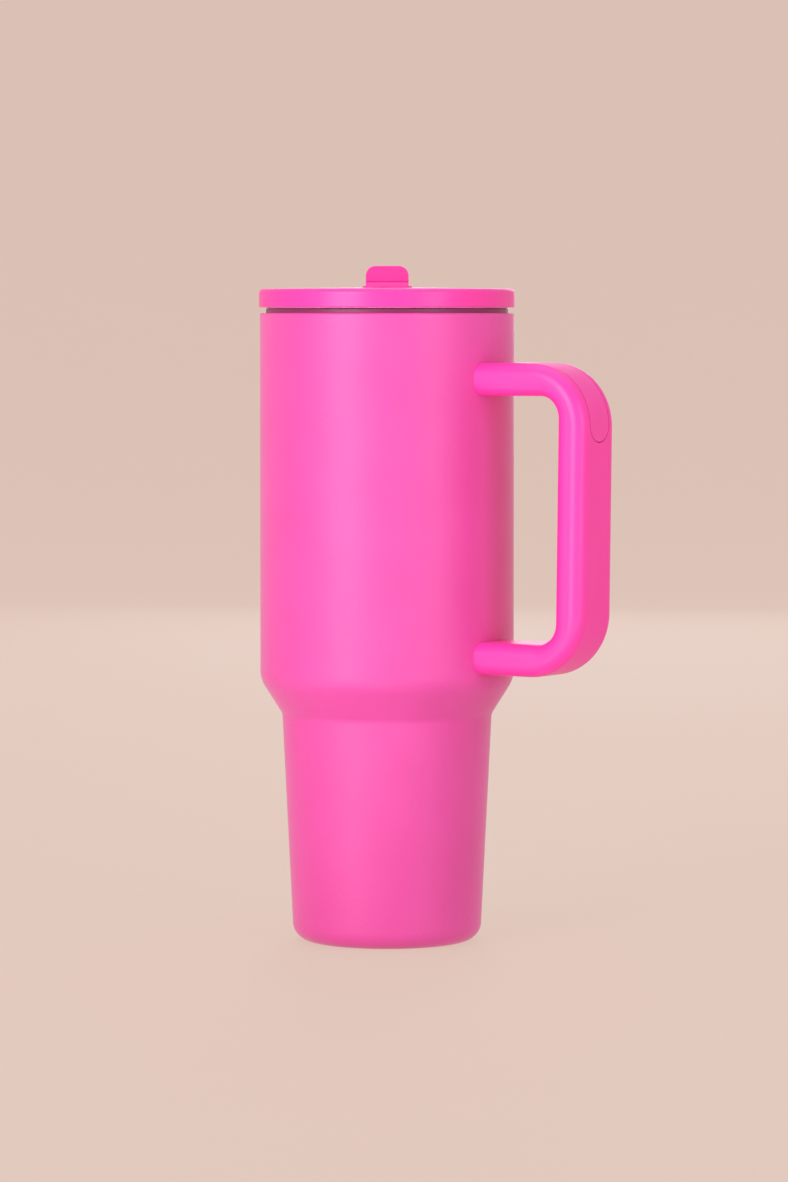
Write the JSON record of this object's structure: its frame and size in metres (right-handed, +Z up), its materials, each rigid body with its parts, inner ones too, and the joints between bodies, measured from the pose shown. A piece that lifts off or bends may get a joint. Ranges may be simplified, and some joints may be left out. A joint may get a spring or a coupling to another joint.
{
  "type": "insulated tumbler",
  "caption": "Double-walled insulated tumbler with a narrow stem, a side loop handle and a screw-in lid with a flip-up straw spout.",
  "frame": {"origin": "centre of the base on the surface it stands on, on the flask's axis", "axes": "+Z up along the flask's axis, +X towards the handle"},
  "size_m": [0.1447, 0.0986, 0.2606],
  "materials": {
    "powder_coat": "satin, fine texture",
    "stainless_steel": "brushed",
    "handle_plastic": "satin",
    "lid_plastic": "satin",
    "soft_touch": "matt, soft touch",
    "silicone": "matt",
    "clear_plastic": "clear gloss",
    "glass_solder": "gloss",
    "getter_alloy": "matt"
  },
  "bodies": {
    "flask": {"outer_shell": "powder_coat", "inner_liner": "stainless_steel", "outer_base": "stainless_steel", "vacuum_seal": "glass_solder", "base_cap": "stainless_steel", "getter": "getter_alloy", "handle_frame": "handle_plastic", "thumb_pad": "soft_touch", "grip_cover": "handle_plastic", "upper_bracket": "stainless_steel", "lower_bracket": "stainless_steel", "handle_screws": "stainless_steel"},
    "seal_ring": {"lid_seal": "silicone"},
    "lid": {"lid_deck": "lid_plastic", "lid_plug": "lid_plastic", "port_seal": "silicone", "vent_valve": "silicone", "hinge_pins": "stainless_steel", "straw": "clear_plastic", "straw_grommet": "silicone"},
    "spout": {"spout_body": "lid_plastic", "mouthpiece": "silicone"}
  },
  "joints": [
    {"name": "lid_rise", "type": "slide", "parent": "flask", "child": "seal_ring", "axis": [0, 0, 1], "range_m": [0, 0.005]},
    {"name": "lid_turn", "type": "hinge", "parent": "seal_ring", "child": "lid", "pos_m": [0, 0, 0.2445], "axis": [0, 0, 1], "range_deg": [0, 295]},
    {"name": "spout_flip", "type": "hinge", "parent": "lid", "child": "spout", "pos_m": [-0.00773, 0.01167, 0.2492], "axis": [-0.8339, -0.5519, 0], "range_deg": [0, 95]}
  ],
  "couplings": [
    {"joint": "lid_rise", "follows": "lid_turn", "m_per_rad": 0.00095493}
  ]
}
